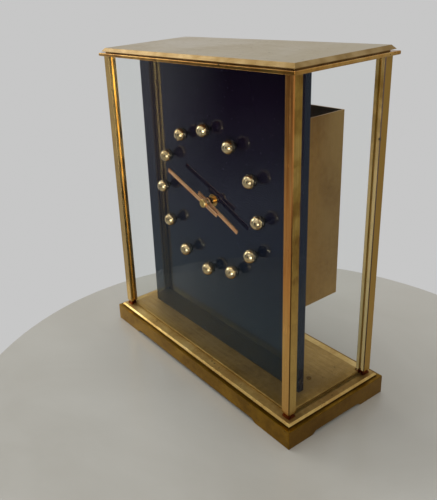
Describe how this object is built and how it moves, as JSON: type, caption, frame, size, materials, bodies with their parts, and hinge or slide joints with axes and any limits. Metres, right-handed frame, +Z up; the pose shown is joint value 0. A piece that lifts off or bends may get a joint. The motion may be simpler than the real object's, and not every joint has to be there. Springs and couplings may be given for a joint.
{
  "type": "mechanical table clock",
  "caption": "Brass and glass table clock: dark upright dial panel with ball hour markers and bar hands, spring movement in a brass cover behind.",
  "frame": {"origin": "middle of the foot outline, on the surface the clock stands on", "axes": "+Z up, +X to the right as seen from the front, +Y from the front glass to the open back"},
  "size_m": [0.2, 0.0884, 0.2307],
  "materials": {
    "aged_brass": "aged, darkened brass",
    "polished_brass": "polished brass",
    "satin_brass": "brushed satin brass",
    "cover_brass": "fine satin brass sheet",
    "movement_brass": "fine brushed brass",
    "mirror_gold": "polished pale gold plate",
    "rose_gold": "satin rose gold plate",
    "dark_panel": "glossy midnight blue acrylic",
    "clear_glass": "clear polished glass",
    "steel": "polished blued steel"
  },
  "bodies": {
    "case": {"plinth_front": "aged_brass", "plinth_back": "aged_brass", "plinth_left": "aged_brass", "plinth_right": "aged_brass", "base_plate": "polished_brass", "floor_plate": "satin_brass", "floor_screws": "polished_brass", "column_front_left": "polished_brass", "column_front_right": "polished_brass", "column_back_left": "polished_brass", "column_back_right": "polished_brass", "column_necks": "aged_brass", "column_screws": "steel", "glass_front": "clear_glass", "glass_left": "clear_glass", "glass_right": "clear_glass", "top_frame": "polished_brass", "top_slab": "satin_brass", "frame_screws": "steel", "dial_panel": "dark_panel", "hour_markers": "mirror_gold", "marker_nuts": "movement_brass", "dial_bushing": "movement_brass", "minute_wheel_stud": "steel", "movement_feet": "movement_brass", "foot_screws": "steel", "front_plate": "movement_brass", "back_plate": "movement_brass", "plate_pillars": "movement_brass", "pillar_screws": "steel", "click_spring": "steel", "click_screw": "steel", "hairspring": "steel", "hairspring_stud": "movement_brass", "movement_cover": "cover_brass", "cover_screws": "steel"},
    "hands_drive": {"centre_arbor": "steel", "centre_wheel": "movement_brass", "cannon_pinion": "steel", "minute_hand": "rose_gold", "hand_cap": "mirror_gold", "setting_knob": "movement_brass"},
    "hour_set": {"hour_wheel": "movement_brass", "hour_collet": "movement_brass", "hour_hand": "rose_gold"},
    "minute_wheel_set": {"minute_wheel": "movement_brass"},
    "barrel": {"barrel_drum": "movement_brass", "barrel_cover": "movement_brass", "mainspring": "steel"},
    "winding_set": {"winding_arbor": "steel", "ratchet_wheel": "steel", "winding_key": "movement_brass"},
    "click_pawl": {"click": "steel"},
    "third_set": {"third_arbor": "steel", "third_wheel": "movement_brass"},
    "escape_set": {"escape_arbor": "steel", "escape_wheel": "movement_brass"},
    "lever": {"pallet_lever": "steel"},
    "balance": {"balance_wheel": "movement_brass"}
  },
  "joints": [
    {"name": "hands_turn", "type": "hinge", "parent": "case", "child": "hands_drive", "pos_m": [0, 0, 0.1293], "axis": [0, 1, 0], "continuous": true},
    {"name": "hour_hand_turn", "type": "hinge", "parent": "case", "child": "hour_set", "pos_m": [0, 0, 0.1293], "axis": [0, 1, 0], "continuous": true},
    {"name": "minute_wheel_turn", "type": "hinge", "parent": "case", "child": "minute_wheel_set", "pos_m": [0.006, 0, 0.13969], "axis": [0, 1, 0], "continuous": true},
    {"name": "barrel_turn", "type": "hinge", "parent": "case", "child": "barrel", "pos_m": [-0.01782, 0, 0.11148], "axis": [0, 1, 0], "continuous": true},
    {"name": "third_wheel_turn", "type": "hinge", "parent": "case", "child": "third_set", "pos_m": [0.01527, 0, 0.14457], "axis": [0, 1, 0], "continuous": true},
    {"name": "escape_wheel_turn", "type": "hinge", "parent": "case", "child": "escape_set", "pos_m": [0.00135, 0, 0.15432], "axis": [0, 1, 0], "continuous": true},
    {"name": "winding_turn", "type": "hinge", "parent": "case", "child": "winding_set", "pos_m": [-0.01782, 0, 0.11148], "axis": [0, -1, 0], "range_deg": [0, 1800]},
    {"name": "click_lift", "type": "hinge", "parent": "case", "child": "click_pawl", "pos_m": [-0.00236, 0, 0.11562], "axis": [0, 1, 0], "range_deg": [0, 12], "stiffness_Nm_per_rad": 0.002, "springref_deg": -5.73},
    {"name": "balance_swing", "type": "hinge", "parent": "case", "child": "balance", "pos_m": [-0.02165, 0, 0.15432], "axis": [0, 1, 0], "range_deg": [-25, 25], "stiffness_Nm_per_rad": 0.0001},
    {"name": "lever_rock", "type": "hinge", "parent": "case", "child": "lever", "pos_m": [-0.00965, 0, 0.15432], "axis": [0, 1, 0], "range_deg": [-5.2, 5.2]}
  ],
  "couplings": [
    {"joint": "hour_hand_turn", "follows": "hands_turn", "ratio": 0.083333},
    {"joint": "minute_wheel_turn", "follows": "hands_turn", "ratio": -0.33333},
    {"joint": "barrel_turn", "follows": "hands_turn", "ratio": -0.16667},
    {"joint": "third_wheel_turn", "follows": "hands_turn", "ratio": -8},
    {"joint": "escape_wheel_turn", "follows": "hands_turn", "ratio": 60},
    {"joint": "lever_rock", "follows": "balance_swing", "ratio": -0.2}
  ]
}
